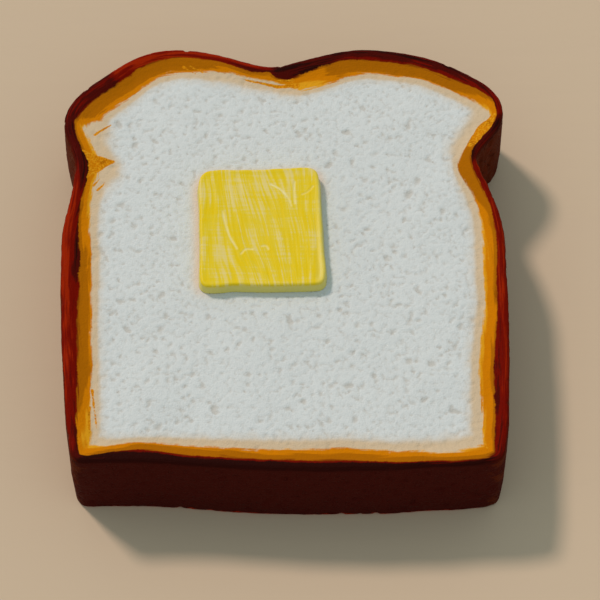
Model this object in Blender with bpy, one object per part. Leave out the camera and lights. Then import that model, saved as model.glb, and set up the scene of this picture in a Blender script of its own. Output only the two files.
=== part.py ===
"""Buttered toast: a thick slice of white sandwich bread with a soft pat of butter on it.

Metres, +Z up. The slice lies on one cut face, with the loaf's base towards -Y and its
two-humped top towards +Y. The origin is under the middle of the slice, on what it lies on.
"""

import math

import bmesh
import bpy
from mathutils import Matrix, Vector, noise

# Driving sizes of the slice
SLICE_WIDTH = 0.1138
SLICE_LENGTH = 0.1243
SLICE_THICKNESS = 0.0250

# The slice's outline, walked counter-clockwise from above. A landmark has its name, its place
# across as a share of half the width, its place up from the loaf's base as a share of the
# length, and the outline's heading there in degrees.
LANDMARKS = (
    ("base left", -0.852, 0.021, 2),
    ("base middle", 0.100, 0.000, 0),
    ("base right", 0.896, 0.020, 5),
    ("right foot", 0.954, 0.048, 85),
    ("right flank", 0.976, 0.147, 88),
    ("right belly", 0.990, 0.326, 90),
    ("right waist", 0.960, 0.607, 101),
    ("right neck", 0.880, 0.727, 84),
    ("right lobe", 1.000, 0.836, 90),
    ("right shoulder", 0.864, 0.930, 148),
    ("right crest", 0.345, 0.998, 180),
    ("dip", -0.060, 0.956, 180),
    ("left crest", -0.480, 1.000, 180),
    ("left shoulder", -0.830, 0.929, 219),
    ("left lobe", -1.000, 0.808, 270),
    ("left neck", -0.942, 0.703, 270),
    ("left belly", -0.987, 0.500, 270),
    ("left flank", -0.945, 0.150, 274),
    ("left foot", -0.912, 0.050, 276),
)
TIGHT_BENDS = ("right neck", "dip", "left neck")
TIGHT_REACH = 0.22
WIDE_REACH = 0.38
LONGEST_STEP = 0.0045
FEWEST_STEPS = 6

# The crust in section, from the lower cut face up the wall to the crest of the upper rim
WALL_BULGE = 0.0003
WALL_STEPS = 4
LOWER_RIM_INSET = 0.0010
LOWER_RIM_HEIGHT = 0.0009
UPPER_RIM_INSET = 0.0012
UPPER_RIM_HEIGHT = 0.0010
RIM_STEPS = 3
CRUST_WOBBLE = 0.0005
CRUST_WOBBLE_LENGTH = 0.014

# The upper cut face, a little below the crust's crest. Each ring has its share of the crest
# ring's size, and its share of the drop.
FACE_DROP = 0.0010
GOLDEN_RINGS = ((0.970, 0.30), (0.940, 0.75))
CRUMB_RINGS = ((0.900, 1.0), (0.740, 1.0), (0.560, 1.0), (0.380, 1.0), (0.200, 1.0))
FACE_RELIEF = 0.0005
FACE_RELIEF_LENGTH = 0.016

# The pat of butter. Each corner's place is in shares of its half width and half length, and is
# followed by the radius of its round.
BUTTER_WIDTH = 0.0336
BUTTER_LENGTH = 0.0360
BUTTER_THICKNESS = 0.0030
BUTTER_X = -0.0058
BUTTER_Y = 0.0060
BUTTER_CORNERS = (
    ("far right", 0.880, 1.000, 0.0030),
    ("far left", -0.965, 0.945, 0.0042),
    ("near left", -0.905, -1.000, 0.0026),
    ("near right", 1.000, -0.965, 0.0028),
)
BUTTER_UPPER_EDGE = 0.0007
BUTTER_FOOT_SPREAD = 0.0003
BUTTER_FOOT_ROUND = 0.0003
BUTTER_WOBBLE = 0.0004
BUTTER_WOBBLE_LENGTH = 0.010
BUTTER_DISH = 0.0003
BUTTER_TOP_SHARES = (0.82, 0.55, 0.25)
BUTTER_SIDE_STEPS = 3
BUTTER_CORNER_STEPS = 5
BUTTER_EDGE_STEPS = 4
BUTTER_EDGE_RINGS = 3
BUTTER_CLEARANCE = 0.0003

# How far past the pat the slice stays level, and how soon its relief is whole again
SEAT_MARGIN = 0.003
SEAT_FADE = 0.010

SHARP_ANGLE = math.radians(40)


def clear_scene():
    for obj in list(bpy.data.objects):
        bpy.data.objects.remove(obj)


def make_material(name, colour, roughness):
    material = bpy.data.materials.new(name)
    material.use_nodes = True
    shader = material.node_tree.nodes["Principled BSDF"]
    shader.inputs["Base Color"].default_value = (*colour, 1.0)
    shader.inputs["Roughness"].default_value = roughness
    shader.inputs["Metallic"].default_value = 0.0
    return material


def bezier(start, leave, arrive, end, share):
    """The point at this share of a cubic curve with its two handles."""
    rest = 1.0 - share
    return (
        start * rest**3
        + leave * (3 * rest**2 * share)
        + arrive * (3 * rest * share**2)
        + end * share**3
    )


def handle(landmark, distance):
    """The vector along a landmark's heading that its curves leave and arrive by."""
    name, _, _, degrees = landmark
    heading = math.radians(degrees)
    reach = TIGHT_REACH if name in TIGHT_BENDS else WIDE_REACH
    return Vector((math.cos(heading), math.sin(heading))) * distance * reach


def place(landmark):
    """A landmark's place in the slice's own frame."""
    _, across, up, _ = landmark
    return Vector((across * SLICE_WIDTH / 2, (up - 0.5) * SLICE_LENGTH))


def slice_outline():
    """The slice's outline through its landmarks, as a closed list of points."""
    points = []
    for landmark, following in zip(LANDMARKS, LANDMARKS[1:] + LANDMARKS[:1]):
        start, end = place(landmark), place(following)
        distance = (end - start).length
        leave = start + handle(landmark, distance)
        arrive = end - handle(following, distance)
        steps = max(FEWEST_STEPS, math.ceil(distance / LONGEST_STEP))
        points += [bezier(start, leave, arrive, end, step / steps) for step in range(steps)]
    return points


def outward_normals(points):
    """The outward direction at each point of a counter-clockwise outline."""
    normals = []
    for before, after in zip(points[-1:] + points[:-1], points[1:] + points[:1]):
        along = (after - before).normalized()
        normals.append(Vector((along.y, -along.x)))
    return normals


def wobbled(points, depth, length):
    """The outline drawn in and out a little here and there, as food is never quite even."""
    drawn = []
    for point, normal in zip(points, outward_normals(points)):
        inwards = depth * noise.noise((point / length).to_3d())
        drawn.append(point - normal * inwards)
    return drawn


def ring_inside(points, inset, height):
    """The outline drawn in by an inset, at a height."""
    ring = []
    for point, normal in zip(points, outward_normals(points)):
        drawn = point - normal * inset
        ring.append(Vector((drawn.x, drawn.y, height)))
    return ring


def quarter_round(inset, height, steps):
    """(inset, height) pairs of a rounded edge, from a wall to the crest above it."""
    angles = [math.pi / 2 * step / steps for step in range(steps + 1)]
    return [(inset * (1 - math.cos(a)), height * math.sin(a)) for a in angles]


def crust_profile():
    """(inset, height) pairs of the crust from the lower cut face up to the upper crest."""
    low, high = LOWER_RIM_HEIGHT, SLICE_THICKNESS - UPPER_RIM_HEIGHT
    lower = quarter_round(LOWER_RIM_INSET, LOWER_RIM_HEIGHT, RIM_STEPS)
    upper = quarter_round(UPPER_RIM_INSET, UPPER_RIM_HEIGHT, RIM_STEPS)
    profile = [(WALL_BULGE + inset, low - rise) for inset, rise in reversed(lower)]
    for step in range(1, WALL_STEPS):
        share = step / WALL_STEPS
        profile.append((WALL_BULGE * (1 - math.sin(math.pi * share)), low + share * (high - low)))
    return profile + [(WALL_BULGE + inset, high + rise) for inset, rise in upper]


def away_from_butter(point):
    """0 under the pat and close round it, rising to 1 further out."""
    past_side = max(abs(point.x - BUTTER_X) - BUTTER_WIDTH / 2 - SEAT_MARGIN, 0.0)
    past_end = max(abs(point.y - BUTTER_Y) - BUTTER_LENGTH / 2 - SEAT_MARGIN, 0.0)
    return min(math.hypot(past_side, past_end) / SEAT_FADE, 1.0)


def ring_across(crest_ring, share, drop_share):
    """The crest's ring made smaller and lowered, with the crumb's gentle unevenness."""
    ring = []
    for point in crest_ring:
        spot = Vector((point.x, point.y)) * share
        relief = FACE_RELIEF * noise.noise((spot / FACE_RELIEF_LENGTH).to_3d())
        height = SLICE_THICKNESS - FACE_DROP * drop_share
        height += relief * drop_share * away_from_butter(spot)
        ring.append(Vector((spot.x, spot.y, height)))
    return ring


def slice_sections():
    """(ring, finish) pairs: each ring of the slice, and the finish of what starts at it."""
    outline = wobbled(slice_outline(), CRUST_WOBBLE, CRUST_WOBBLE_LENGTH)
    sections = [(ring_inside(outline, inset, height), "crust") for inset, height in crust_profile()]
    crest = sections[-1][0]
    sections += [(ring_across(crest, *ring), "golden_edge") for ring in GOLDEN_RINGS]
    sections += [(ring_across(crest, *ring), "crumb") for ring in CRUMB_RINGS]
    return sections


def rounded_corner(before, corner, after, radius):
    """Points on the arc that rounds the corner between two straight sides."""
    backwards = (before - corner).normalized()
    onwards = (after - corner).normalized()
    half_angle = backwards.angle(onwards) / 2
    middle = corner + (backwards + onwards).normalized() * radius / math.sin(half_angle)
    spoke = corner + backwards * radius / math.tan(half_angle) - middle
    sweep = math.pi - 2 * half_angle
    steps = range(BUTTER_CORNER_STEPS + 1)
    return [middle + Matrix.Rotation(sweep * step / BUTTER_CORNER_STEPS, 2) @ spoke for step in steps]


def butter_outline():
    """The pat's outline, counter-clockwise: straight sides between rounded corners."""
    corners = [
        Vector((across * BUTTER_WIDTH / 2, along * BUTTER_LENGTH / 2))
        for _, across, along, _ in BUTTER_CORNERS
    ]
    arcs = []
    for number, (_, _, _, radius) in enumerate(BUTTER_CORNERS):
        following = corners[(number + 1) % len(corners)]
        arcs.append(rounded_corner(corners[number - 1], corners[number], following, radius))
    outline = []
    shares = [step / BUTTER_EDGE_STEPS for step in range(1, BUTTER_EDGE_STEPS)]
    for arc, following_arc in zip(arcs, arcs[1:] + arcs[:1]):
        outline += arc
        outline += [arc[-1].lerp(following_arc[0], share) for share in shares]
    return outline


def butter_sections():
    """(ring, finish) pairs of the pat: a spread foot, soft sides, a rounded edge, a dished top."""
    outline = wobbled(butter_outline(), BUTTER_WOBBLE, BUTTER_WOBBLE_LENGTH)
    shoulder = BUTTER_THICKNESS - BUTTER_UPPER_EDGE
    profile = [(BUTTER_FOOT_ROUND, 0.0), (0.0, BUTTER_FOOT_ROUND)]
    for step in range(1, BUTTER_SIDE_STEPS):
        share = step / BUTTER_SIDE_STEPS
        profile.append((BUTTER_FOOT_SPREAD * (1 - (1 - share) ** 2), shoulder * share))
    for inset, rise in quarter_round(BUTTER_UPPER_EDGE, BUTTER_UPPER_EDGE, BUTTER_EDGE_RINGS):
        profile.append((BUTTER_FOOT_SPREAD + inset, shoulder + rise))
    rings = [ring_inside(outline, inset, height) for inset, height in profile]
    crest = rings[-1]
    for share in BUTTER_TOP_SHARES:
        height = BUTTER_THICKNESS - BUTTER_DISH * (1 - share**2)
        rings.append([Vector((point.x * share, point.y * share, height)) for point in crest])
    return [(ring, "butter") for ring in rings]


def loft(name, sections, materials, first_finish):
    """A closed object through rings of equal counts, shut by a face at each end."""
    finishes = list(materials)
    body = bmesh.new()
    rings = [[body.verts.new(point) for point in ring] for ring, _ in sections]
    for (lower, upper), (_, finish) in zip(zip(rings, rings[1:]), sections):
        for start in range(len(lower)):
            following = (start + 1) % len(lower)
            corners = (lower[start], lower[following], upper[following], upper[start])
            body.faces.new(corners).material_index = finishes.index(finish)
    body.faces.new(reversed(rings[0])).material_index = finishes.index(first_finish)
    body.faces.new(rings[-1]).material_index = finishes.index(sections[-1][1])
    mesh = bpy.data.meshes.new(name)
    body.to_mesh(mesh)
    body.free()
    mesh.shade_smooth()
    mesh.set_sharp_from_angle(angle=SHARP_ANGLE)
    for material in materials.values():
        mesh.materials.append(material)
    return bpy.data.objects.new(name, mesh)


def make_toast():
    materials = {
        "crust": make_material("crust", (0.130, 0.015, 0.005), 0.55),
        "golden_edge": make_material("golden_edge", (0.420, 0.160, 0.012), 0.75),
        "crumb": make_material("crumb", (0.700, 0.690, 0.640), 0.90),
    }
    return loft("toast", slice_sections(), materials, "crumb")


def make_butter(toast):
    materials = {"butter": make_material("butter", (0.700, 0.500, 0.060), 0.40)}
    butter = loft("butter", butter_sections(), materials, "butter")
    butter.parent = toast
    butter.location = (BUTTER_X, BUTTER_Y, SLICE_THICKNESS - FACE_DROP + BUTTER_CLEARANCE)
    return butter


def main():
    clear_scene()
    parts = bpy.data.collections.new("buttered_toast")
    bpy.context.scene.collection.children.link(parts)
    toast = make_toast()
    parts.objects.link(toast)
    parts.objects.link(make_butter(toast))


main()
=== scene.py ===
"""The looks of the buttered toast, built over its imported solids, in metres.

A thick slice of white sandwich bread lies on its cut face. From its edge inwards it has a dark
uneven crust, a golden band, a cream one and a fine white crumb. A soft pat of butter lies on it,
a little left of the middle.
"""

import math
from types import SimpleNamespace

import bpy
import numpy as np
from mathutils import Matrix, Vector, geometry, kdtree, noise


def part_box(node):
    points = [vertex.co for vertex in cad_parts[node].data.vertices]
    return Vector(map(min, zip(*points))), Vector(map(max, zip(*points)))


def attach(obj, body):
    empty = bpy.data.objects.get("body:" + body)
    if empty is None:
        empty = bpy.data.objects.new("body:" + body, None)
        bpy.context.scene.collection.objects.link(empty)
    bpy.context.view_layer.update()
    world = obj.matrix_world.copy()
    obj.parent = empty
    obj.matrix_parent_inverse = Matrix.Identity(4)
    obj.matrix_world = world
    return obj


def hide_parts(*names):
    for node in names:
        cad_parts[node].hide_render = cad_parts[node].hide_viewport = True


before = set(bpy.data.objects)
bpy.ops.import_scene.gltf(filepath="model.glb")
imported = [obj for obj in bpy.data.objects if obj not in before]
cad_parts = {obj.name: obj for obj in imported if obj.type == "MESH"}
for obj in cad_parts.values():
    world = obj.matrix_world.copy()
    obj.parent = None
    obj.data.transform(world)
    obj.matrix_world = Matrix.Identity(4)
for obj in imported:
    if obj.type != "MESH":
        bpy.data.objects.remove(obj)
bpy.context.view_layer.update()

MM = 0.001
SEED = 7

# How far apart, in a noise's own lengths, the noises of two seeds one after the other lie
NOISE_SHIFT = Vector((17.0, 29.0, 41.0))

# How far the points that fill a face are moved at random, as a share of the step between them
FILL_JITTER = 0.15

# The slice in section, as its solid has it. A rim is the inset and the height of its round.
WALL_BULGE = 0.3 * MM
LOWER_RIM = (1.0 * MM, 0.9 * MM)
UPPER_RIM = (1.2 * MM, 1.0 * MM)
FACE_DROP = 1.0 * MM
FACE_SLOPE = 5.6 * MM
FACE_RELIEF = 0.5 * MM
FACE_RELIEF_LENGTH = 16 * MM
FACE_GRAIN = (0.05 * MM, 0.9 * MM)
SEAT_MARGIN = 3 * MM
SEAT_FADE = 10 * MM

# The crust's relief. Each has its depth and its length, and the wrinkles are deeper by the necks.
CRUST_WAVES = (0.10 * MM, 9 * MM)
CRUST_GRAIN = (0.06 * MM, 1.3 * MM)
CRUST_PITS = (0.35 * MM, 2.2 * MM)
PIT_SPAN = (0.28, 0.60)
WRINKLES = (0.12 * MM, 2.4 * MM)
NECK_WRINKLES = 0.45 * MM
WRINKLE_STRETCH = (1.0, 1.0, 0.25)
NECK_BEARINGS = (29, 153)
NECK_SPREAD = 5

# The finest steps of the slice's mesh
EDGE_STEP = 0.60 * MM
WALL_STEP = 0.80 * MM
UPPER_STEP = 0.50 * MM
UNDER_STEP = 1.3 * MM
RIM_STEPS = 4

# How the bands run round the slice: the bearing from its middle in degrees counter-clockwise from
# the right, how deep the crust, the golden band and the cream band reach in millimetres, how dark
# the crust is, from red-brown at 0 to near black at 1.2 and above, how much darker its inner edge
# is, or redder where that is below 0, and how orange the golden band is, from hardly at -0.5 to all
# across it at 0.5.
BANDS = (
    ("right side", 0, 2.8, 6.4, 8.8, 0.12, 0.1, 0.30),
    ("right waist", 12, 2.4, 5.6, 7.8, 0.12, 0.1, 0.15),
    ("under the right neck", 21, 2.2, 5.1, 7.6, 0.14, 0.1, -0.50),
    ("right neck", 28.5, 2.3, 5.9, 7.6, 0.20, 0.2, -0.50),
    ("over the right neck", 30, 2.3, 5.9, 7.6, 0.78, 0.1, -0.50),
    ("right lobe's underside", 34, 2.4, 4.4, 7.4, 0.78, 0.0, -0.45),
    ("right lobe's corner", 35.5, 2.3, 3.5, 8.4, 0.74, 0.0, 0.30),
    ("right lobe", 37, 2.2, 3.4, 8.7, 0.22, 0.1, 0.40),
    ("right lobe's upper side", 40, 2.3, 5.2, 8.7, 0.25, 0.1, 0.35),
    ("right shoulder", 44, 3.1, 6.6, 9.3, 0.58, -0.15, 0.00),
    ("right crest", 51, 3.9, 7.0, 9.4, 0.66, -0.2, -0.20),
    ("right crest's middle", 68, 3.8, 7.6, 9.6, 0.76, -0.2, -0.28),
    ("right crest's far side", 75, 3.6, 9.2, 10.6, 0.74, -0.1, -0.25),
    ("right of the dip", 80, 3.8, 9.6, 11.2, 0.74, 0.0, 0.55),
    ("near the dip", 85, 4.4, 9.2, 10.9, 0.76, 0.0, 0.70),
    ("beside the dip", 88.5, 5.1, 6.9, 10.2, 0.76, 0.0, 0.50),
    ("dip", 92, 4.3, 5.2, 9.0, 0.72, 0.0, 0.20),
    ("left of the dip", 94, 2.4, 4.7, 8.2, 0.20, 0.2, 0.15),
    ("far side of the left crest", 99, 3.2, 4.7, 8.0, 0.22, 0.4, 0.15),
    ("left crest's fringe", 105, 2.7, 4.8, 8.4, 0.12, 0.2, 0.05),
    ("left crest", 109, 2.9, 6.2, 9.0, 0.10, 0.1, -0.05),
    ("left crest's near side", 116, 3.0, 7.7, 9.6, 0.08, 0.1, -0.22),
    ("left shoulder", 129, 4.4, 9.5, 11.3, 0.05, 0.1, -0.20),
    ("left of the shoulder", 131, 4.5, 9.7, 11.3, 0.72, 0.0, -0.20),
    ("left lobe", 140, 4.5, 9.7, 12.2, 0.56, 0.1, -0.15),
    ("left lobe's corner", 144, 3.0, 5.0, 10.4, 0.66, 0.1, 0.35),
    ("over the left neck", 148, 3.1, 6.4, 12.9, 0.78, 0.1, 0.30),
    ("left neck", 152, 4.0, 6.6, 12.4, 0.74, 0.1, 0.25),
    ("under the left neck", 157, 3.9, 5.5, 9.4, 0.30, 0.6, 0.40),
    ("left waist", 163, 3.4, 5.9, 8.7, 0.10, 0.4, 0.40),
    ("left side", 180, 5.2, 8.2, 10.5, 0.12, 0.8, 0.00),
    ("left side's middle", 190, 5.2, 8.4, 10.4, 0.14, 0.5, -0.15),
    ("left flank", 200, 4.6, 8.4, 10.0, 0.22, 0.1, -0.28),
    ("left hip", 216, 3.9, 7.6, 9.8, 0.22, 0.1, -0.25),
    ("left foot", 227, 2.6, 6.4, 9.4, 0.45, 0.1, 0.80),
    ("left foot's near side", 231, 2.2, 5.4, 7.6, 1.00, 0.1, 0.30),
    ("base left", 237, 4.4, 6.3, 8.2, 1.20, -0.2, -0.25),
    ("left of the base's middle", 247, 3.1, 6.4, 8.8, 1.22, -0.3, -0.15),
    ("base middle", 261, 3.3, 6.4, 9.4, 1.25, -0.3, 0.00),
    ("right of the base's middle", 286, 3.1, 7.1, 9.9, 1.25, -0.3, 0.05),
    ("base right", 305, 1.7, 4.4, 8.4, 1.20, -0.3, 0.15),
    ("right foot's near side", 310.5, 1.7, 5.4, 9.4, 0.85, 0.0, 0.25),
    ("right foot", 314, 3.6, 6.8, 10.4, 0.45, 0.0, 0.30),
    ("right flank", 327, 4.5, 8.1, 10.4, 0.30, 0.2, 0.25),
    ("right belly", 343, 3.4, 6.3, 8.7, 0.24, 0.1, 0.35),
)
CRUMB_BAND = 10 * MM

# Down the wall the tones of nearby bearings blend, apart from the darkest. The wall's own colours
# start at this depth down it, with its near black lightened there as painted fill light against
# the wall's shade. Its foot turns red-brown up to this height, and both reach this far inwards.
WALL_BLEND = range(-28, 29, 4)
WALL_BLEND_SPAN = (0.5 * MM, 3.0 * MM)
DARK_TONES = (0.6, 1.0)
WALL_SPAN = (0.1 * MM, 1.2 * MM)
FOOT_SPAN = (0.2 * MM, 1.6 * MM)
WALL_REACH = 2 * MM

# Golden strokes past the golden band, each from one place to another with its half width at
# either end, in millimetres
STRAY_STROKES = (
    ("wedge at the left neck", (-51.0, 26.2), (-43.0, 27.5), 4.4, 0.15),
    ("left lobe", (-48.5, 35.3), (-44.5, 38.3), 0.40, 0.30),
    ("left neck", (-48.4, 19.8), (-46.6, 22.6), 0.34, 0.22),
    ("left neck again", (-47.2, 18.6), (-45.3, 21.1), 0.36, 0.22),
    ("left crest", (-26.2, 56.2), (-22.9, 54.1), 0.45, 0.20),
    ("left crest again", (-24.4, 56.4), (-20.9, 54.4), 0.45, 0.20),
    ("thin start at the dip", (-12.5, 53.9), (-9.7, 52.2), 0.15, 0.24),
    ("sweep under the dip", (-9.7, 52.2), (-4.9, 51.0), 0.24, 0.30),
    ("sweep past the dip", (-4.9, 51.0), (-1.5, 50.2), 0.32, 0.45),
    ("end right of the dip", (-1.5, 50.2), (3.4, 50.6), 0.45, 0.80),
    ("short sweep at the dip", (-2.4, 51.7), (2.2, 52.2), 0.22, 0.60),
    ("tip of the right lobe", (54.3, 41.2), (51.5, 37.0), 0.30, 1.80),
    ("under the right lobe", (51.5, 37.0), (48.1, 32.2), 1.80, 1.30),
    ("left foot", (-46.6, -39.0), (-45.2, -49.5), 0.36, 0.12),
    ("left foot again", (-47.2, -44.0), (-46.8, -53.0), 0.50, 0.20),
)

# Pores of the crumb: how many, and their least and greatest radius
PORES = (
    (80, 0.90 * MM, 1.40 * MM),
    (1300, 0.55 * MM, 0.90 * MM),
    (5000, 0.32 * MM, 0.55 * MM),
)
PORE_DEPTH_SHARE = 0.30
PORE_STRETCH = 0.5
PORE_GRID = 0.10 * MM
PORE_WARPS = ((0.55 * MM, 2.2 * MM), (0.25 * MM, 0.8 * MM))
DEEPEST_PORE = 0.5 * MM
SPONGE_DEPTH = 0.16 * MM
SPONGE_SPAN = (0.0, 0.7)
SPONGE_LENGTHS = (1.3 * MM, 0.65 * MM)
PORED_BANDS = (0.7, 2.6)
PORE_FADE = 1.2 * MM

# Where the slice's surface lies on its bake's map: the wall in two strips, one above the other,
# and over them the two cut faces, each with its size and its lower left corner
CHART_EDGE = 0.005
STRIP_LENGTH = 0.98
STRIP_HEIGHT = 0.112
STRIP_STEP = 0.125
UPPER_CHART = (0.73, (0.005, 0.26))
LOWER_CHART = (0.30, (0.69, 0.26))

# The butter in section, as its solid has it, but down to the crumb it has sunk into. The foot has
# its inset and its height, and as shares of them one place of its round.
BUTTER_EDGE = 0.7 * MM
BUTTER_LEAN = 0.3 * MM
BUTTER_FOOT = (0.25 * MM, 0.35 * MM)
BUTTER_FOOT_BEND = (0.3, 0.4)
BUTTER_WIDEST = 0.3 * MM
BUTTER_DISH = 0.3 * MM
BUTTER_SQUARENESS = 4
BUTTER_SINK = 0.4 * MM
BUTTER_STEP = 0.28 * MM
BUTTER_UNDER_STEP = 3 * BUTTER_STEP
BUTTER_TOP_MARGIN = 1.3 * BUTTER_STEP
BUTTER_SIDE_STEPS = 9
BUTTER_EDGE_STEPS = 7
BUTTER_SLUMP = 0.35 * MM
BUTTER_SLUMP_WIDTH = 2.4 * MM
# How much of the sides' painted shade tint the slumped right edge takes
SLUMP_SHADE_TINT = 0.5
# Where the sides' painted shade tint fades out below the top
SIDE_SHADE_SPAN = (1.6 * BUTTER_EDGE, 0.4 * BUTTER_EDGE)
BUTTER_TOP_DROP = 0.1 * MM
BUTTER_TOP_FADE = 1.5 * MM
BUTTER_WAVES = (0.12 * MM, 4 * MM)
BUTTER_GRAIN = (0.04 * MM, 1.1 * MM)

# Where the butter's surface lies on its own map: the top with the sides unfolded round it, then the
# foot, each with its size, the width it leaves for what is round it, and its middle
BUTTER_TOP_CHART = (0.62, 14 * MM, (0.33, 0.5))
BUTTER_FOOT_CHART = (0.30, 5 * MM, (0.82, 0.5))

# How far the crumb beside the butter is stained, on its far and left sides
HALO_REACH = 1.5 * MM
HALO_SPAN = (-10 * MM, 4 * MM)

# Marks of a knife in the butter's top, as shares of its half width and half length
KNIFE_MARKS = (
    ("long curve", (-0.64, 0.26), (-0.60, 0.06), (-0.52, -0.18), (-0.40, -0.38)),
    ("slanting nick", (0.14, 0.74), (0.30, 0.66), (0.42, 0.52), (0.48, 0.36)),
    ("upright nick", (0.54, 0.40), (0.52, 0.58), (0.54, 0.78)),
    ("low dab", (0.66, 0.56), (0.76, 0.60), (0.84, 0.70)),
    ("bent scratch", (-0.33, -0.47), (-0.26, -0.38), (-0.15, -0.39)),
    ("low curl", (0.00, -0.34), (0.07, -0.32), (0.11, -0.39)),
)

# A mark has this many steps from place to place, and its bends are rounded over so many steps to
# either side, so many times. It is a groove with a lip beside it.
MARK_STEPS = 24
MARK_BEND = 6
MARK_ROUNDS = 3
MARK_WIDTH = 0.24 * MM
MARK_DEPTH = 0.10 * MM
MARK_LIP = 0.03 * MM
LIP_GAP = 1.8 * MARK_WIDTH

# The knife's broad strokes: how deep they are, the width of the broad and of the fine ones with
# their width over their length, and how they lean and drift across the middle
STROKE_DEPTH = 0.07 * MM
STROKES = (1.3 * MM, 0.09)
FINE_STROKES = (0.6 * MM, 0.12)
FINE_STROKE_SHARE = 0.5
STROKE_LEAN = 0.30
STROKE_LEAN_REACH = 9 * MM
STROKE_DRIFT = 0.9 * MM
STROKE_DRIFT_LENGTH = 11 * MM

# Colours of the surfaces, as sRGB values. Some are painted light or shade, as noted above them.
RED_BROWN = (152, 34, 2)
DARK_RED = (112, 12, 1)
MAROON = (74, 11, 5)
NEAR_BLACK = (40, 10, 6)
# Lighter than NEAR_BLACK, for the same near black down the wall: painted fill light against the wall's shade
DARK_WALL = (69, 19, 13)
WALL_BROWN = (94, 38, 15)
BURNT_OCHRE = (120, 52, 4)
OCHRE = (172, 100, 4)
ORANGE = (206, 122, 4)
BRIGHT_GOLD = (224, 156, 28)
CREAM = (210, 186, 152)
CRUMB_WHITE = (214, 217, 213)
# Painted shade in the crumb's pores, a little warm
PAINTED_SHADE_IN_PORES = (194, 190, 180)
SOAKED = (222, 199, 178)
BUTTER_DEEP = (232, 198, 2)
BUTTER_YELLOW = (229, 200, 34)
BUTTER_PALE = (229, 207, 122)
BUTTER_SCRATCH = (242, 232, 178)
# Paler, greener yellow of the butter's sides: painted shade tint
BUTTER_SIDE = (222, 207, 110)
FLOOR_TAN = (206, 183, 155)

# Where one colour of the slice turns into the next, on the scale of the bands from the edge inwards,
# which is 1 where the crust ends, 2 where the golden band ends and 3 where the cream one does
RED_EDGE = (0.78, 0.92)
INNER_EDGE = (0.35, 0.80)
PAST_BURNT = (0.90, 1.12)
PAST_CRUST = (0.94, 1.06)
TO_ORANGE = (1.45, 1.65)
PAST_GOLDEN = (1.88, 2.10)
TO_BRIGHT_GOLD = (2.00, 2.30)
PAST_CREAM = (2.55, 3.25)

# Where the crust's colours turn darker, on the scale of its tone
TO_DARK_RED = (-0.08, 0.28)
TO_MAROON = (0.42, 0.62)
TO_NEAR_BLACK = (0.75, 0.95)

# Where each of the slice's marks begins and where it is whole, each on its own scale
POCK_NOISE = (0.06, 0.22)
PAINTED_SHADE_IN_PORES_SPAN = (0.02, 0.6)
STRAY_EDGE = (-0.05, 0.15)
STROKE_ORANGE = (-0.25, 0.05)
STROKE_GOLD = (-0.10, 0.20)
RED_FOOT_NOISE = (0.45, 0.75)

# Where the butter's streaks turn paler, and where its scratches show, on the scale of its noises
TO_BUTTER_YELLOW = (-0.22, 0.00)
TO_BUTTER_PALE = (-0.04, 0.28)
SCRATCH_NOISE = (-0.45, 0.45)

# How far along the butter, towards its far side, the tone of its streaks would rise by 1
PALER_REACH = 300 * MM

# How deep the fine relief is that only the shading has
BREAD_BUMP = 0.16 * MM
BUTTER_BUMP = 0.05 * MM
FLOOR_BUMP = 0.1 * MM

# The camera and the light
CAMERA_ELEVATION = math.radians(60)
CAMERA_DISTANCE = 744.2 * MM
CAMERA_AIM = Vector((4.15, -14.17, 25.0)) * MM
CAMERA_LENS = 180
KEY_BEARING = math.radians(135)
KEY_ELEVATION = math.radians(50)
KEY_STRENGTH = 1.83
KEY_ANGLE = math.radians(9)
KEY_COLOUR = (1.0, 0.853, 0.800)
SKY_COLOUR = (0.800, 0.950, 1.0)
SKY_STRENGTH = 0.530

# The floor
FLOOR_SIZE = 6.0
FLOOR_ROUGHNESS = 0.9


def linear(colour):
    """An sRGB colour of 0 to 255 as the linear colour with alpha that shaders take."""
    shares = [value / 255 for value in colour]
    return tuple(s / 12.92 if s < 0.04045 else ((s + 0.055) / 1.055) ** 2.4 for s in shares) + (1.0,)


def smoothstep(low, high, value):
    share = np.clip((value - low) / (high - low), 0.0, 1.0)
    return share * share * (3 - 2 * share)


def noise_at(points, length, seed=0):
    """Smooth noise of about -1 to 1 at (x, y, z) points, with features of this length."""
    offset = NOISE_SHIFT * seed
    return np.array([noise.noise(Vector(point) + offset) for point in np.asarray(points) / length])


def with_height(points, heights):
    """(N, 2) points and their heights as (N, 3) points."""
    return np.column_stack([points, np.broadcast_to(heights, len(points))])


# Outlines, read from the frame's solids


def outline_of(node, height, tolerance):
    """A node's outline at a height, counter-clockwise from the middle of its near side."""
    spots = {
        (round(vertex.co.x, 6), round(vertex.co.y, 6))
        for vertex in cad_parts[node].data.vertices
        if abs(vertex.co.z - height) < tolerance
    }
    ring = np.array(sorted(spots))
    x, y = (ring - (ring.min(0) + ring.max(0)) / 2).T
    return ring[np.argsort((np.arctan2(y, x) + math.pi / 2) % (2 * math.pi))]


def smooth_ring(points, spacing):
    """A closed smooth curve through points, cut at even steps."""
    after = np.roll(points, -1, 0)
    gap = np.linalg.norm(after - points, axis=1)[:, None]
    slope = (after - points) / gap
    gap_before = np.roll(gap, 1, 0)
    slope_before = np.roll(slope, 1, 0)
    tangent = (slope * gap_before + slope_before * gap) / (gap + gap_before)
    starts = np.concatenate([[0], np.cumsum(gap)])
    count = round(starts[-1] / spacing)
    along = np.arange(count) * starts[-1] / count
    index = np.searchsorted(starts, along, side="right") - 1
    share = ((along - starts[index]) / gap[index, 0])[:, None]
    square = share**2
    cube = share**3
    return (
        points[index] * (2 * cube - 3 * square + 1)
        + tangent[index] * gap[index] * (cube - 2 * square + share)
        + after[index] * (3 * square - 2 * cube)
        + np.roll(tangent, -1, 0)[index] * gap[index] * (cube - square)
    )


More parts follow.
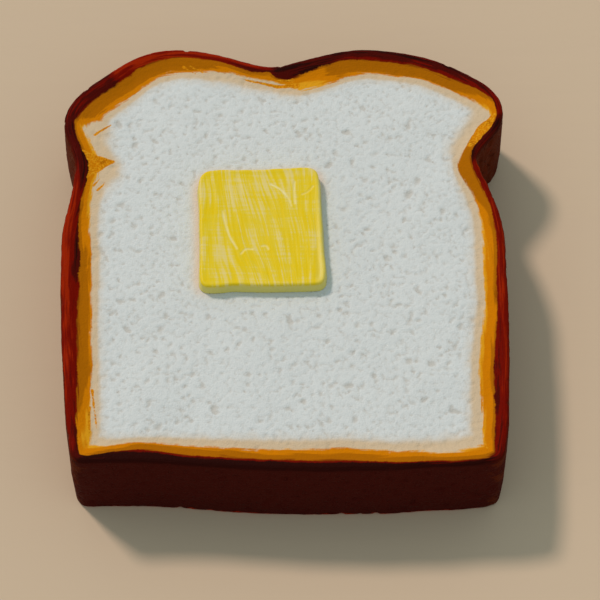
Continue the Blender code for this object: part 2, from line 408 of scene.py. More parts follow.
class Outline:
    """A closed ring that runs counter-clockwise, with its outward normals."""

    def __init__(self, ring, spacing):
        self.ring = ring
        self.spacing = spacing
        self.along = np.roll(ring, -1, 0) - np.roll(ring, 1, 0)
        self.along /= np.linalg.norm(self.along, axis=1)[:, None]
        self.normals = np.column_stack([self.along[:, 1], -self.along[:, 0]])
        self.tree = kdtree.KDTree(len(ring))
        for index, (x, y) in enumerate(ring):
            self.tree.insert((x, y, 0), index)
        self.tree.balance()

    def inset(self, depth):
        return self.ring - self.normals * np.broadcast_to(depth, len(self.ring))[:, None]

    def nearest(self, points):
        return [self.tree.find((x, y, 0))[1] for x, y in points]

    def depth(self, points):
        """How far inside the ring each point lies, below 0 outside it."""
        found = self.nearest(points)
        offset = self.ring[found] - points
        inward = np.einsum("ij,ij->i", offset, self.normals[found])
        aside = np.abs(np.einsum("ij,ij->i", offset, self.along[found])) - self.spacing / 2
        return np.copysign(np.hypot(inward, np.maximum(aside, 0)), inward)


# Mesh building


def quarter_round(inset, height, steps):
    """(inset, height) pairs of a rounded edge, from a wall to the crest above it."""
    angles = [math.pi / 2 * step / steps for step in range(steps + 1)]
    return [(inset * (1 - math.cos(a)), height * math.sin(a)) for a in angles]


def fill_points(outline, margin, spacing, rng):
    """Points on an uneven triangular grid, all further inside an outline than the margin."""
    low = outline.ring.min(0)
    high = outline.ring.max(0)
    rows = []
    for number, y in enumerate(np.arange(low[1], high[1], spacing * math.sqrt(3) / 2)):
        x = np.arange(low[0] + (number % 2) * spacing / 2, high[0], spacing)
        rows.append(np.column_stack([x, np.full(len(x), y)]))
    spots = np.concatenate(rows)
    spots += rng.uniform(-FILL_JITTER, FILL_JITTER, spots.shape) * spacing
    return spots[outline.depth(spots) > margin]


def fill_faces(ring, inner):
    """Triangles over a ring and the points inside it. The ring's points come first."""
    points = [Vector(point) for point in np.concatenate([ring, inner]) / MM]
    edges = [(start, (start + 1) % len(ring)) for start in range(len(ring))]
    inside_only = 1
    tolerance = 1e-6
    return np.array(geometry.delaunay_2d_cdt(points, edges, [], inside_only, tolerance)[2])


class Shell:
    """A closed mesh in the making, with the place of each face's corners on its bake's map."""

    def __init__(self):
        self.points = []
        self.faces = []
        self.places = []
        self.count = 0

    def add_points(self, points):
        """Adds points and returns their numbers."""
        self.points.append(points)
        self.count += len(points)
        return np.arange(self.count - len(points), self.count)

    def add_faces(self, faces, places):
        self.faces += faces.tolist()
        self.places.append(places.reshape(-1, 2))

    def add_face(self, ring, points, heights, triangles, places):
        """Triangles over points whose first ones are a ring that the mesh has already."""
        numbers = self.add_points(with_height(points, heights)[len(ring) :])
        self.add_faces(np.concatenate([ring, numbers])[triangles], places[triangles])

    def add_wall(self, rings, columns, rows):
        """Joins rings with quads. columns has the places across of each quad's two sides."""
        left, right = columns
        for lower, upper, floor, roof in zip(rings, rings[1:], rows, rows[1:]):
            quads = np.column_stack([lower, np.roll(lower, -1), np.roll(upper, -1), upper])
            corners = [left + floor, right + floor, right + roof, left + roof]
            self.add_faces(quads, np.stack(corners, axis=1))

    def build(self, name, attributes):
        """The finished object, with its bake's map and its attributes at each point."""
        mesh = bpy.data.meshes.new(name)
        mesh.from_pydata(np.concatenate(self.points).tolist(), [], self.faces)
        chart = mesh.uv_layers.new(name="OFBake")
        chart.uv.foreach_set("vector", np.concatenate(self.places).ravel())
        for label, values in attributes.items():
            kind, field = ("FLOAT", "value") if values.ndim == 1 else ("FLOAT_VECTOR", "vector")
            layer = mesh.attributes.new(label, kind, "POINT")
            layer.data.foreach_set(field, values.astype(np.float32).ravel())
        mesh.shade_smooth()
        piece = bpy.data.objects.new(name, mesh)
        bpy.context.scene.collection.objects.link(piece)
        return piece


# The slice


def bearings_of(points):
    return np.degrees(np.arctan2(points[:, 1], points[:, 0])) % 360


def band_value(points, column):
    """One column of the bands' table at each point's bearing."""
    bearings = [row[1] for row in BANDS]
    return np.interp(bearings_of(points), bearings, [row[column] for row in BANDS], period=360)


def tone_of(points, wall):
    """How dark the crust is. Down the wall, the changes round the slice get gradual."""
    bearings = [row[1] for row in BANDS]
    tones = [row[5] for row in BANDS]
    around = bearings_of(points)
    turned = [np.interp(around + turn, bearings, tones, period=360) for turn in WALL_BLEND]
    tone = band_value(points, 5)
    share = smoothstep(*WALL_BLEND_SPAN, wall) * (1 - smoothstep(*DARK_TONES, tone))
    return tone + (np.mean(turned, axis=0) - tone) * share


def band_of(points, depth):
    """0 to 1 through the crust, to 2 through the golden band, to 3 through the cream, then on."""
    crust = band_value(points, 2) * MM
    golden = band_value(points, 3) * MM
    cream = band_value(points, 4) * MM
    steps = [
        depth / crust,
        1 + (depth - crust) / (golden - crust),
        2 + (depth - golden) / (cream - golden),
    ]
    return np.select([depth < crust, depth < golden, depth < cream], steps, 3 + (depth - cream) / CRUMB_BAND)


def stray_reach(points):
    """How far inside the golden stray strokes each point lies, in millimetres, below 0 outside."""
    reach = np.full(len(points), -CRUMB_BAND / MM)
    for _, start, end, start_width, end_width in STRAY_STROKES:
        run = np.subtract(end, start)
        offset = points / MM - start
        share = np.clip(offset @ run / (run @ run), 0, 1)
        gap = np.linalg.norm(offset - share[:, None] * run, axis=1)
        reach = np.maximum(reach, start_width + share * (end_width - start_width) - gap)
    return reach


def pore_grid(low, high, rng):
    """Depths of many overlapping cups, on a fine grid over a box."""
    columns, rows = np.ceil((high - low) / PORE_GRID).astype(int) + 1
    depths = np.zeros((rows, columns))
    for count, least, greatest in PORES:
        for _ in range(count):
            centre = rng.uniform(low, high)
            radius = least + (greatest - least) * rng.random() ** 2
            turn = rng.uniform(0, math.pi)
            reach = radius * (1 + PORE_STRETCH * rng.random())
            first = np.maximum((centre - reach - low) / PORE_GRID, 0).astype(int)
            last = ((centre + reach - low) / PORE_GRID).astype(int) + 2
            window = depths[first[1] : last[1], first[0] : last[0]]
            x = low[0] + (first[0] + np.arange(window.shape[1])) * PORE_GRID - centre[0]
            y = low[1] + (first[1] + np.arange(window.shape[0])) * PORE_GRID - centre[1]
            x, y = np.meshgrid(x, y)
            lengthwise = (x * math.cos(turn) + y * math.sin(turn)) / reach
            crosswise = (y * math.cos(turn) - x * math.sin(turn)) * reach / radius**2
            cup = radius * PORE_DEPTH_SHARE * (1 - lengthwise**2 - crosswise**2)
            np.maximum(window, cup, out=window)
    return depths


def pore_depth(points, low, high, rng):
    """The depth of the crumb's pores at each point, their rims drawn out of round by noise."""
    grid = pore_grid(low, high, rng)
    flat = with_height(points, 0)
    warped = points.copy()
    for reach, length in PORE_WARPS:
        warped += reach * np.column_stack([noise_at(flat, length, seed) for seed in (1, 2)])
    column, row = ((warped - low) / PORE_GRID).T
    within_last = 1.001
    column = np.clip(column, 0, grid.shape[1] - within_last)
    row = np.clip(row, 0, grid.shape[0] - within_last)
    left = column.astype(int)
    below = row.astype(int)
    across = column - left
    up = row - below
    lower = grid[below, left] * (1 - across) + grid[below, left + 1] * across
    upper = grid[below + 1, left] * (1 - across) + grid[below + 1, left + 1] * across
    sponge = sum(noise_at(flat, length, seed=13) for length in SPONGE_LENGTHS)
    pits = SPONGE_DEPTH * smoothstep(*SPONGE_SPAN, sponge)
    return np.minimum(lower * (1 - up) + upper * up + pits, DEEPEST_PORE)


def uneven(points, relief, seed):
    """Waves of a relief's depth and length, from 0 to twice the depth."""
    depth, length = relief
    return depth * (1 + noise_at(points, length, seed))


def crust_relief(points, z):
    """How far the crust lies inside its solid: low waves, creases by the necks, grain, pits."""
    place = with_height(points, z)
    bearing = bearings_of(points)
    neck = sum(np.exp(-(((bearing - middle) / NECK_SPREAD) ** 2)) for middle in NECK_BEARINGS)
    creases = np.abs(noise_at(place * WRINKLE_STRETCH, WRINKLES[1], seed=4))
    wrinkles = (WRINKLES[0] + NECK_WRINKLES * neck) * creases
    pits = CRUST_PITS[0] * smoothstep(*PIT_SPAN, noise_at(place, CRUST_PITS[1], seed=6))
    waves = uneven(place, CRUST_WAVES, seed=3)
    return waves + wrinkles + uneven(place, CRUST_GRAIN, seed=5) + pits


def face_height(points, depth, away):
    """The upper face's height over its lowest level: the crust's slope and gentle waves."""
    flat = with_height(points, 0)
    drop = smoothstep(0, 1, (depth - WALL_BULGE - UPPER_RIM[0]) / FACE_SLOPE)
    waves = noise_at(flat, FACE_RELIEF_LENGTH)
    grain = uneven(flat, FACE_GRAIN, seed=8)
    return FACE_DROP * (1 - drop) + FACE_RELIEF * waves * drop * away - grain


def wall_profile(low, high):
    """(inset, height) pairs of the crust from the lower face up to the upper rim's crest."""
    bottom = low + LOWER_RIM[1]
    top = high - UPPER_RIM[1]
    lower = [(WALL_BULGE + i, bottom - h) for i, h in reversed(quarter_round(*LOWER_RIM, RIM_STEPS))]
    upper = [(WALL_BULGE + i, top + h) for i, h in quarter_round(*UPPER_RIM, RIM_STEPS)]
    steps = round((top - bottom) / WALL_STEP)
    shares = [step / steps for step in range(1, steps)]
    side = [(WALL_BULGE * (1 - math.sin(math.pi * s)), bottom + s * (top - bottom)) for s in shares]
    return lower + side + upper


def wall_columns(count):
    """The places across of each quad's two sides, on two strips one above the other."""
    half = math.ceil(count / 2)
    column = np.arange(count)
    strip = column // half
    along = CHART_EDGE + STRIP_LENGTH * (column - strip * half) / half
    left = np.column_stack([along, STRIP_STEP * strip])
    return left, left + (STRIP_LENGTH / half, 0)


def pored_face(outline, ring, spacing, box, rng):
    """A cut face inside a ring: its points, the ring's first, its triangles and its pores."""
    inner = fill_points(outline, UPPER_RIM[0] + WALL_BULGE + spacing, spacing, rng)
    points = np.concatenate([ring, inner])
    openness = smoothstep(*PORED_BANDS, band_of(points, outline.depth(points)))
    return points, fill_faces(ring, inner), pore_depth(points, *box, rng) * openness


def face_places(points, box, chart):
    """Where the points of a cut face lie on the bake's map."""
    size, corner = chart
    return (points - box[0]) / np.ptp(box, 0).max() * size + corner


def add_crust(shell, outline, bottom, top):
    """Adds the slice's wall, and returns its rings' numbers and their points."""
    profile = wall_profile(bottom, top)
    layers = [outline.inset(inset + crust_relief(outline.ring, z)) for inset, z in profile]
    rings = [shell.add_points(with_height(layer, z)) for layer, (_, z) in zip(layers, profile)]
    rises = [CHART_EDGE + STRIP_HEIGHT * (z - bottom) / (top - bottom) for _, z in profile]
    rows = [np.array((0, rise)) for rise in rises]
    shell.add_wall(rings, wall_columns(len(outline.ring)), rows)
    return rings, layers


def bread_attributes(points, outline, butter_outline, pores, bottom, top):
    """What the slice's material has to know at each point."""
    flat = points[:, :2]
    depth = outline.depth(flat)
    wall = top - points[:, 2]
    upper_half = points[:, 2] > (bottom + top) / 2
    nearest = outline.ring[outline.nearest(flat)]
    from_butter = np.maximum(-butter_outline.depth(flat), 0)
    far_left = smoothstep(*HALO_SPAN, (flat - butter_outline.ring.mean(0)) @ (-1, 1))
    outermost = depth < WALL_REACH
    return {
        "band": band_of(flat, depth),
        "tone": tone_of(flat, wall),
        "inner": band_value(flat, 6),
        "gold": band_value(flat, 7),
        "stray": np.where(upper_half, stray_reach(flat), -CRUMB_BAND / MM),
        "edge": with_height(nearest, depth - wall),
        "wall": smoothstep(*WALL_SPAN, wall) * outermost,
        "foot": (1 - smoothstep(*FOOT_SPAN, points[:, 2] - bottom)) * outermost,
        "pore": pores / DEEPEST_PORE,
        "halo": np.exp(-((from_butter / HALO_REACH) ** 2)) * far_left * upper_half,
    }


def make_bread(butter_outline):
    """The slice: a crusted wall between two open, pored faces."""
    rng = np.random.default_rng(SEED)
    low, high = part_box("toast")
    middle = (low.z + high.z) / 2
    outline = Outline(smooth_ring(outline_of("toast", middle, 1 * MM), EDGE_STEP), EDGE_STEP)
    box = np.array([low.xy, high.xy])
    shell = Shell()
    rings, layers = add_crust(shell, outline, low.z, high.z)

    points, triangles, upper_pores = pored_face(outline, layers[-1], UPPER_STEP, box, rng)
    from_butter = -butter_outline.depth(points)
    away = smoothstep(SEAT_MARGIN, SEAT_MARGIN + SEAT_FADE, from_butter)
    upper_pores *= smoothstep(0, PORE_FADE, from_butter)
    heights = high.z - FACE_DROP + face_height(points, outline.depth(points), away) - upper_pores
    shell.add_face(rings[-1], points, heights, triangles, face_places(points, box, UPPER_CHART))

    points, triangles, lower_pores = pored_face(outline, layers[0], UNDER_STEP, box, rng)
    heights = low.z + lower_pores
    shell.add_face(rings[0], points, heights, triangles[:, ::-1], face_places(points, box, LOWER_CHART))

    count = len(outline.ring)
    pores = np.concatenate([np.zeros(len(rings) * count), upper_pores[count:], lower_pores[count:]])
    points = np.concatenate(shell.points)
    attributes = bread_attributes(points, outline, butter_outline, pores, low.z, high.z)
    return shell.build("bread", attributes)


# The butter


def butter_profile(low, high):
    """(inset, height) pairs from the foot on the crumb to the crest round the dished top."""
    foot_inset, foot_height = BUTTER_FOOT
    shoulder = high - BUTTER_EDGE
    base = low + foot_height
    bend = (foot_inset * BUTTER_FOOT_BEND[0], low + foot_height * BUTTER_FOOT_BEND[1])
    foot = [(foot_inset, low), bend, (0.0, base)]
    shares = [step / BUTTER_SIDE_STEPS for step in range(1, BUTTER_SIDE_STEPS)]
    side = [(BUTTER_LEAN * (1 - (1 - s) ** 2), base + s * (shoulder - base)) for s in shares]
    edge = quarter_round(BUTTER_EDGE, BUTTER_EDGE, BUTTER_EDGE_STEPS)
    return foot + side + [(BUTTER_LEAN + inset, shoulder + rise) for inset, rise in edge]


def stroke_of(corners):
    """Close points along a stroke through a few places, its bends rounded."""
    corners = np.array(corners)
    count = MARK_STEPS * (len(corners) - 1)
    steps = np.linspace(0, len(corners) - 1, count)
    stroke = np.column_stack([np.interp(steps, range(len(corners)), axis) for axis in corners.T])
    reach = MARK_BEND
    for _ in range(MARK_ROUNDS):
        shifts = [stroke[shift : count - 2 * reach + shift] for shift in range(2 * reach + 1)]
        stroke[reach : count - reach] = np.mean(shifts, axis=0)
    return stroke


def mark_distance(points, marks):
    """The distance of each point from the nearest of several strokes, each named."""
    spots = [(x, y, 0) for name, *corners in marks for x, y in stroke_of(corners)]
    tree = kdtree.KDTree(len(spots))
    for number, spot in enumerate(spots):
        tree.insert(spot, number)
    tree.balance()
    return np.array([tree.find((x, y, 0))[2] for x, y in points])


def brushed(local):
    """Places whose x stays the same along each of the knife's strokes, which bend in the middle."""
    lean = STROKE_LEAN * np.exp(-((local[:, 0] / STROKE_LEAN_REACH) ** 2))
    drift = STROKE_DRIFT * noise_at(with_height(local, 0), STROKE_DRIFT_LENGTH, seed=14)
    return local + np.column_stack([lean * local[:, 1] + drift, np.zeros(len(local))])


def strokes_at(along, size, seed):
    """Noise of the knife's strokes of a width, with that over their length."""
    width, slenderness = size
    return noise_at(with_height(along * (1.0, slenderness), 0), width, seed)


def butter_marks(local, half):
    """The knife's marks, from 0 to 1 in the grooves, and the relief they and its strokes leave."""
    gap = mark_distance(local, [(name, *(np.array(corners) * half)) for name, *corners in KNIFE_MARKS])
    groove = np.exp(-((gap / MARK_WIDTH) ** 2))
    lip = np.exp(-(((gap - LIP_GAP) / MARK_WIDTH) ** 2))
    along = brushed(local)
    fine = FINE_STROKE_SHARE * strokes_at(along, FINE_STROKES, seed=10)
    strokes = STROKE_DEPTH * (strokes_at(along, STROKES, seed=9) + fine)
    return groove, strokes + MARK_LIP * lip - MARK_DEPTH * groove


def butter_top(local, half, inward, top):
    """The heights of the dished and marked top, from how far inside its edge each point lies."""
    relief = butter_marks(local, half)[1]
    share = ((np.abs(local / half) ** BUTTER_SQUARENESS).sum(1)) ** (1 / BUTTER_SQUARENESS)
    fade = smoothstep(0.0, BUTTER_TOP_FADE, inward)
    dished = top - BUTTER_TOP_DROP - BUTTER_DISH * (1 - np.minimum(share, 1) ** 2) + relief * fade
    level = np.minimum(dished + BUTTER_TOP_DROP * (1 - fade), top)
    return level - BUTTER_SLUMP * slumped(local, half) * fade


def slumped(local, half):
    """0 to 1 towards the butter's right edge."""
    return smoothstep(half[0] - BUTTER_SLUMP_WIDTH, half[0], local[:, 0])


def butter_places(local, half, chart):
    """Where points of the butter lie on its bake's map."""
    size, spread, middle = chart
    return local * size / (2 * half.max() + spread) + middle


def add_butter_side(shell, rings, unfolded):
    """Joins the rings of the butter's side, with their places on the map from the foot up."""
    for lower, upper, below, above in zip(rings, rings[1:], unfolded, unfolded[1:]):
        quads = np.column_stack([lower, np.roll(lower, -1), np.roll(upper, -1), upper])
        corners = [below, np.roll(below, -1, 0), np.roll(above, -1, 0), above]
        shell.add_faces(quads, np.stack(corners, axis=1))


def butter_attributes(points, centre, half, top):
    """What the butter's material has to know at each point."""
    local = points[:, :2] - centre
    groove = butter_marks(local, half)[0] * (points[:, 2] > top - BUTTER_EDGE)
    # The sides take BUTTER_SIDE, a greener tint: painted shade.
    side = 1 - smoothstep(top - SIDE_SHADE_SPAN[0], top - SIDE_SHADE_SPAN[1], points[:, 2])
    # The slumped right edge, turned away from the light, takes part of that painted shade tint.
    side += SLUMP_SHADE_TINT * (1 - side) * slumped(local, half)
    return {"groove": groove, "side": side, "local": with_height(brushed(local), points[:, 2])}


def make_butter(outline):
    """The pat: soft leaning sides, a rounded edge and a dished top with a knife's marks."""
    rng = np.random.default_rng(SEED + 1)
    low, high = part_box("butter")
    centre = np.array((low + high).xy) / 2
    shell = Shell()
    profile = butter_profile(low.z - BUTTER_SINK, high.z)
    layers = []
    for inset, z in profile:
        place = with_height(outline.ring, z)
        relief = uneven(place, BUTTER_WAVES, seed=11) + uneven(place, BUTTER_GRAIN, seed=12)
        layers.append(outline.inset(inset + relief))
    rings = [shell.add_points(with_height(layer, z)) for layer, (_, z) in zip(layers, profile)]

    crest = profile[-1][0]
    inner = fill_points(outline, crest + BUTTER_TOP_MARGIN, BUTTER_STEP, rng)
    points = np.concatenate([layers[-1], inner])
    local = points - centre
    half = np.abs(local).max(0)
    heights = butter_top(local, half, outline.depth(points) - crest, high.z)
    triangles = fill_faces(layers[-1], inner)
    shell.add_face(rings[-1], points, heights, triangles, butter_places(local, half, BUTTER_TOP_CHART))

    run = 0
    unfolded = [layers[-1]]
    for (inset, z), (inset_below, z_below) in zip(profile[::-1], profile[-2::-1]):
        run += math.hypot(inset - inset_below, z - z_below)
        unfolded.append(layers[-1] + outline.normals * run)
    places = [butter_places(ring - centre, half, BUTTER_TOP_CHART) for ring in unfolded[::-1]]
    add_butter_side(shell, rings, places)

    foot_inset, foot = profile[0]
    under = fill_points(outline, foot_inset + BUTTER_UNDER_STEP, BUTTER_UNDER_STEP, rng)
    points = np.concatenate([layers[0], under])
    triangles = fill_faces(layers[0], under)[:, ::-1]
    places = butter_places(points - centre, half, BUTTER_FOOT_CHART)
    shell.add_face(rings[0], points, foot, triangles, places)
    attributes = butter_attributes(np.concatenate(shell.points), centre, half, high.z)
    return shell.build("butter_pat", attributes)


# Materials


class Shader:
    """A material's nodes, made by short calls. Inputs are values or other nodes' outputs."""

    def __init__(self, name, specular):
        self.material = bpy.data.materials.new(name)
        self.material.use_nodes = True
        self.tree = self.material.node_tree
        self.surface = self.tree.nodes["Principled BSDF"]
        self.surface.inputs["Specular IOR Level"].default_value = specular

    def fill(self, socket, value):
        if isinstance(value, bpy.types.NodeSocket):
            self.tree.links.new(value, socket)
        else:
            socket.default_value = value

    def add(self, kind, inputs, **settings):
        """A node of a kind with its settings, and its inputs by name or number."""
        node = self.tree.nodes.new(kind)
        for name, value in settings.items():
            setattr(node, name, value)
        for name, value in inputs.items():
            self.fill(node.inputs[name], value)
        return node

    def attribute(self, name):
        return self.add("ShaderNodeAttribute", {}, attribute_name=name).outputs["Fac"]

    def place(self, name):
        return self.add("ShaderNodeAttribute", {}, attribute_name=name).outputs["Vector"]

    def math(self, operation, first, second=0.0):
        node = self.add("ShaderNodeMath", {0: first, 1: second}, operation=operation)
        return node.outputs["Value"]

    def total(self, first, *others):
        """A sum of values."""
        for other in others:
            first = self.math("ADD", first, other)
        return first

    def product(self, first, second):
        return self.math("MULTIPLY", first, second)

    def noise(self, place, sizes, detail=2.0):
        """Noise about 0, mostly within 0.5, with features of these sizes along each axis."""
        shares = {0: place, 1: [1 / size for size in sizes]}
        scaled = self.add("ShaderNodeVectorMath", shares, operation="MULTIPLY")
        inputs = {"Vector": scaled.outputs["Vector"], "Scale": 1.0, "Detail": detail}
        node = self.add("ShaderNodeTexNoise", inputs)
        return self.math("SUBTRACT", node.outputs["Fac"], 0.5)

    def span(self, value, low, high):
        """0 below low, 1 above high, and smooth between."""
        inputs = {"Value": value, "From Min": low, "From Max": high}
        node = self.add("ShaderNodeMapRange", inputs, interpolation_type="SMOOTHSTEP")
        return node.outputs["Result"]

    def mix(self, share, first, second):
        """A mix of two colours, whose inputs are the node's sockets 6 and 7."""
        node = self.add("ShaderNodeMix", {0: share, 6: first, 7: second}, data_type="RGBA")
        return node.outputs[2]

    def layers(self, value, first, *steps):
        """A colour that changes at steps of a value, each (low, high, colour)."""
        for low, high, colour in steps:
            first = self.mix(self.span(value, low, high), first, colour)
        return first

    def finish(self, colour, roughness, height, distance):
        self.fill(self.surface.inputs["Base Color"], colour)
        self.fill(self.surface.inputs["Roughness"], roughness)
        bump = self.add("ShaderNodeBump", {"Height": height, "Distance": distance, "Strength": 1.0})
        self.fill(self.surface.inputs["Normal"], bump.outputs["Normal"])
        return self.material


def bread_marks(shader):
    """The unevenness of the slice's colours: streaks along its edge, and spots of several sizes."""
    edge = shader.place("edge")
    spot = shader.add("ShaderNodeTexCoord", {}).outputs["Object"]
    return SimpleNamespace(
        streaks=shader.noise(edge, (9 * MM, 9 * MM, 0.5 * MM), 3.0),
        broad=shader.noise(edge, (16 * MM, 16 * MM, 1.6 * MM), 2.0),
        ragged=shader.noise(spot, (2.6 * MM,) * 3, 3.0),
        grain=shader.noise(spot, (0.45 * MM,) * 3, 3.0),
        blotches=shader.noise(spot, (6 * MM,) * 3, 2.0),
        pocks=shader.noise(spot, (1.5 * MM,) * 3, 1.0),
    )


def crust_colour(shader, marks, band, border, wall, pocked):
    """Red-brown to near black: streaked on the rim, browner and mottled down the wall, with painted fill
    light lifting the wall's near black and painted shade in its pits.
    """
    tones = shader.attribute("tone")
    inner = shader.attribute("inner")
    inwards = shader.math("SUBTRACT", shader.span(band, *INNER_EDGE), 0.3)
    mottled = shader.total(marks.blotches, marks.ragged, shader.product(marks.grain, 0.5))
    tone = shader.total(
        tones,
        shader.product(inner, inwards),
        shader.product(marks.broad, 0.6),
        shader.product(marks.streaks, shader.math("SUBTRACT", 1.5, shader.product(wall, 1.4))),
        shader.product(wall, shader.total(shader.product(mottled, 0.6), 0.15)),
    )
    colour = shader.layers(
        tone,
        linear(RED_BROWN),
        (*TO_DARK_RED, linear(DARK_RED)),
        (*TO_MAROON, linear(MAROON)),
    )
    colour = shader.mix(shader.product(wall, 0.7), colour, linear(WALL_BROWN))
    # Down the wall the near black is DARK_WALL, which is lighter: painted fill light against the wall's
    # shade.
    darkest = shader.mix(wall, linear(NEAR_BLACK), linear(DARK_WALL))
    colour = shader.mix(shader.span(tone, *TO_NEAR_BLACK), colour, darkest)
    red_edge = shader.product(shader.span(border, *RED_EDGE), shader.span(inner, 0.0, -0.25))
    colour = shader.mix(red_edge, colour, linear(DARK_RED))
    # Painted shade: the pits that the bump sinks are darkened too.
    colour = shader.mix(shader.product(pocked, 0.4), colour, linear(DARK_WALL))
    # Towards the wall's foot the darkest crust turns red-brown again, in broken patches.
    red_foot = shader.total(shader.attribute("foot"), marks.ragged, shader.product(marks.blotches, 1.2))
    red_foot = shader.product(shader.span(red_foot, *RED_FOOT_NOISE), shader.span(tones, 0.6, 1.2))
    return shader.mix(red_foot, colour, linear(RED_BROWN))


def golden_colour(shader, marks, band):
    """Ochre that turns orange and bright gold inwards, with a burnt edge against the crust."""
    streaked = shader.total(band, shader.product(marks.broad, 0.9), shader.product(marks.streaks, 0.7))
    colour = shader.layers(
        shader.total(streaked, shader.attribute("gold")),
        linear(OCHRE),
        (*TO_ORANGE, linear(ORANGE)),
        (*TO_BRIGHT_GOLD, linear(BRIGHT_GOLD)),
    )
    return shader.mix(shader.span(streaked, *PAST_BURNT), linear(BURNT_OCHRE), colour)


def crumb_colour(shader):
    """White, with painted shade in the pores, and stained beside the butter."""
    pored = shader.span(shader.attribute("pore"), *PAINTED_SHADE_IN_PORES_SPAN)
    # Painted shade: the deeper the pore, the darker the crumb.
    colour = shader.mix(shader.product(pored, 0.8), linear(CRUMB_WHITE), linear(PAINTED_SHADE_IN_PORES))
    return shader.mix(shader.product(shader.attribute("halo"), 0.8), colour, linear(SOAKED))


def stroke_colour(shader, marks):
    """The mixed ochre, orange and gold of the stray strokes."""
    colour = shader.mix(shader.span(marks.ragged, *STROKE_ORANGE), linear(OCHRE), linear(ORANGE))
    return shader.mix(shader.span(marks.grain, *STROKE_GOLD), colour, linear(BRIGHT_GOLD))


def bread_material():
    """Crust, golden band, cream band and crumb, which the distance from the edge divides."""
    shader = Shader("toasted_bread", specular=0.02)
    marks = bread_marks(shader)
    band = shader.attribute("band")
    wall = shader.attribute("wall")
    border = shader.total(band, shader.product(marks.ragged, 0.35), shader.product(marks.grain, 0.12))
    soft_border = shader.total(border, shader.product(marks.streaks, 0.6))
    past_crust = shader.span(border, *PAST_CRUST)
    # The crust's pits: sunk by the bump, and darkened as painted shade.
    pocked = shader.product(wall, shader.span(marks.pocks, *POCK_NOISE))

    crust = crust_colour(shader, marks, band, border, wall, pocked)
    colour = shader.mix(past_crust, crust, golden_colour(shader, marks, band))
    colour = shader.mix(shader.span(soft_border, *PAST_GOLDEN), colour, linear(CREAM))
    colour = shader.mix(shader.span(border, *PAST_CREAM), colour, crumb_colour(shader))
    stray = shader.total(shader.attribute("stray"), shader.product(marks.ragged, 0.8))
    stray = shader.product(shader.span(stray, *STRAY_EDGE), past_crust)
    colour = shader.mix(stray, colour, stroke_colour(shader, marks))

    shades = shader.total(marks.grain, shader.product(marks.blotches, 0.6))
    shade = shader.total(1.0, shader.product(shades, 0.12))
    tinted = shader.add("ShaderNodeVectorMath", {0: colour, "Scale": shade}, operation="SCALE")
    roughness = shader.total(0.62, shader.product(shader.span(border, 0.9, 1.3), 0.25), marks.grain)
    streaked = shader.product(marks.streaks, shader.math("SUBTRACT", 1.0, shader.span(border, 0.8, 2.0)))
    height = shader.total(marks.grain, shader.product(pocked, -1.5), streaked)
    return shader.finish(tinted.outputs["Vector"], roughness, height, BREAD_BUMP)


def butter_material():
    """Soft yellow butter, streaked by the knife, paler in its marks, with a painted shade tint at its sides
    and its right edge.
    """
    shader = Shader("soft_butter", specular=0.15)
    local = shader.place("local")
    streaks = shader.noise(local, (0.5 * MM, 11 * MM, 3 * MM), 3.0)
    broad = shader.noise(local, (1.6 * MM, 17 * MM, 4 * MM), 2.0)
    weave = shader.noise(local, (9 * MM, 0.7 * MM, 3 * MM), 2.0)
    cloud = shader.noise(local, (7 * MM,) * 3, 2.0)
    grain = shader.noise(local, (0.5 * MM,) * 3, 2.0)
    far = shader.add("ShaderNodeSeparateXYZ", {0: local}).outputs["Y"]
    tone = shader.total(
        streaks,
        shader.product(broad, 0.8),
        shader.product(weave, 0.45),
        shader.product(cloud, 0.6),
        shader.product(far, 1 / PALER_REACH),
    )
    colour = shader.layers(
        tone,
        linear(BUTTER_DEEP),
        (*TO_BUTTER_YELLOW, linear(BUTTER_YELLOW)),
        (*TO_BUTTER_PALE, linear(BUTTER_PALE)),
    )
    scratched = shader.product(shader.attribute("groove"), shader.span(cloud, *SCRATCH_NOISE))
    colour = shader.mix(scratched, colour, linear(BUTTER_SCRATCH))
    # Painted shade tint on the sides and the slumped right edge
    colour = shader.mix(shader.attribute("side"), colour, linear(BUTTER_SIDE))
    roughness = shader.total(0.42, shader.product(cloud, 0.3))
    return shader.finish(colour, roughness, shader.total(streaks, grain), BUTTER_BUMP)


def floor_material():
    """A plain pale tan surface, hardly uneven."""
    shader = Shader("pale_floor", specular=0.1)
    spot = shader.add("ShaderNodeTexCoord", {}).outputs["Object"]
    brush = shader.noise(spot, (30 * MM, 6 * MM, 30 * MM), 3.0)
    share = shader.total(shader.product(brush, 0.2), 0.1)
    colour = shader.mix(share, linear(FLOOR_TAN), linear(CREAM))
    return shader.finish(colour, FLOOR_ROUGHNESS, brush, FLOOR_BUMP)


# The setting


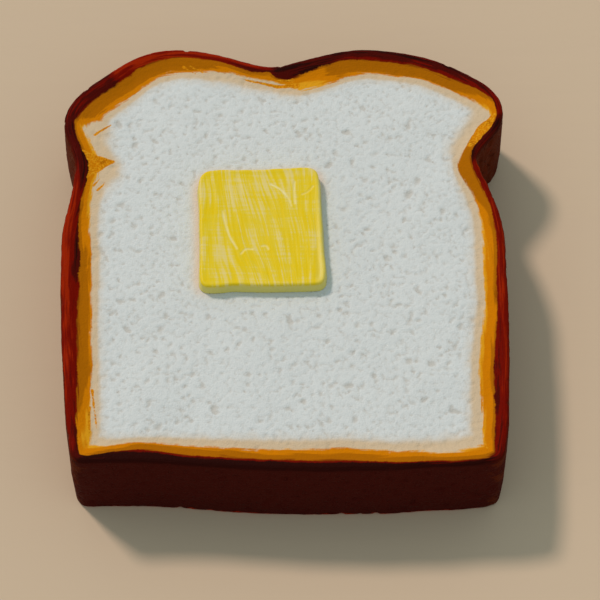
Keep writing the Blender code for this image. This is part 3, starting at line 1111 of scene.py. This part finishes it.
def make_floor(height):
    mesh = bpy.data.meshes.new("floor")
    half = FLOOR_SIZE / 2
    corners = [(-half, -half, height), (half, -half, height), (half, half, height), (-half, half, height)]
    mesh.from_pydata(corners, [], [(0, 1, 2, 3)])
    mesh.materials.append(floor_material())
    floor = bpy.data.objects.new("floor", mesh)
    bpy.context.scene.collection.objects.link(floor)


def make_light():
    """A broad key light from the far left, which throws the butter's shadow near and right."""
    key = bpy.data.objects.new("key", bpy.data.lights.new("key", "SUN"))
    key.data.energy = KEY_STRENGTH
    key.data.angle = KEY_ANGLE
    key.data.color = KEY_COLOUR
    across = math.cos(KEY_ELEVATION)
    towards = Vector((
        math.cos(KEY_BEARING) * across,
        math.sin(KEY_BEARING) * across,
        math.sin(KEY_ELEVATION),
    ))
    key.rotation_euler = towards.to_track_quat("Z", "Y").to_euler()
    bpy.context.scene.collection.objects.link(key)
    world = bpy.data.worlds.new("sky")
    world.use_nodes = True
    sky = world.node_tree.nodes["Background"]
    sky.inputs["Color"].default_value = (*SKY_COLOUR, 1.0)
    sky.inputs["Strength"].default_value = SKY_STRENGTH
    bpy.context.scene.world = world


def make_camera():
    camera = bpy.data.objects.new("camera", bpy.data.cameras.new("camera"))
    camera.data.lens = CAMERA_LENS
    camera.data.clip_end = FLOOR_SIZE
    away = Vector((0, -math.cos(CAMERA_ELEVATION), math.sin(CAMERA_ELEVATION)))
    camera.location = CAMERA_AIM + away * CAMERA_DISTANCE
    camera.rotation_euler = away.to_track_quat("Z", "Y").to_euler()
    bpy.context.scene.collection.objects.link(camera)
    bpy.context.scene.camera = camera


def dress(piece, node, material):
    """Puts a finished piece in its node's place."""
    piece.data.materials.append(material)
    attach(piece, "root")
    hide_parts(node)


def main():
    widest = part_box("butter")[0].z + BUTTER_WIDEST
    ring = smooth_ring(outline_of("butter", widest, 0.1 * BUTTER_WIDEST), BUTTER_STEP)
    butter_outline = Outline(ring, BUTTER_STEP)
    dress(make_bread(butter_outline), "toast", bread_material())
    dress(make_butter(butter_outline), "butter", butter_material())
    make_floor(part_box("toast")[0].z)
    make_light()
    make_camera()
    bpy.context.scene.view_settings.view_transform = "Standard"


main()
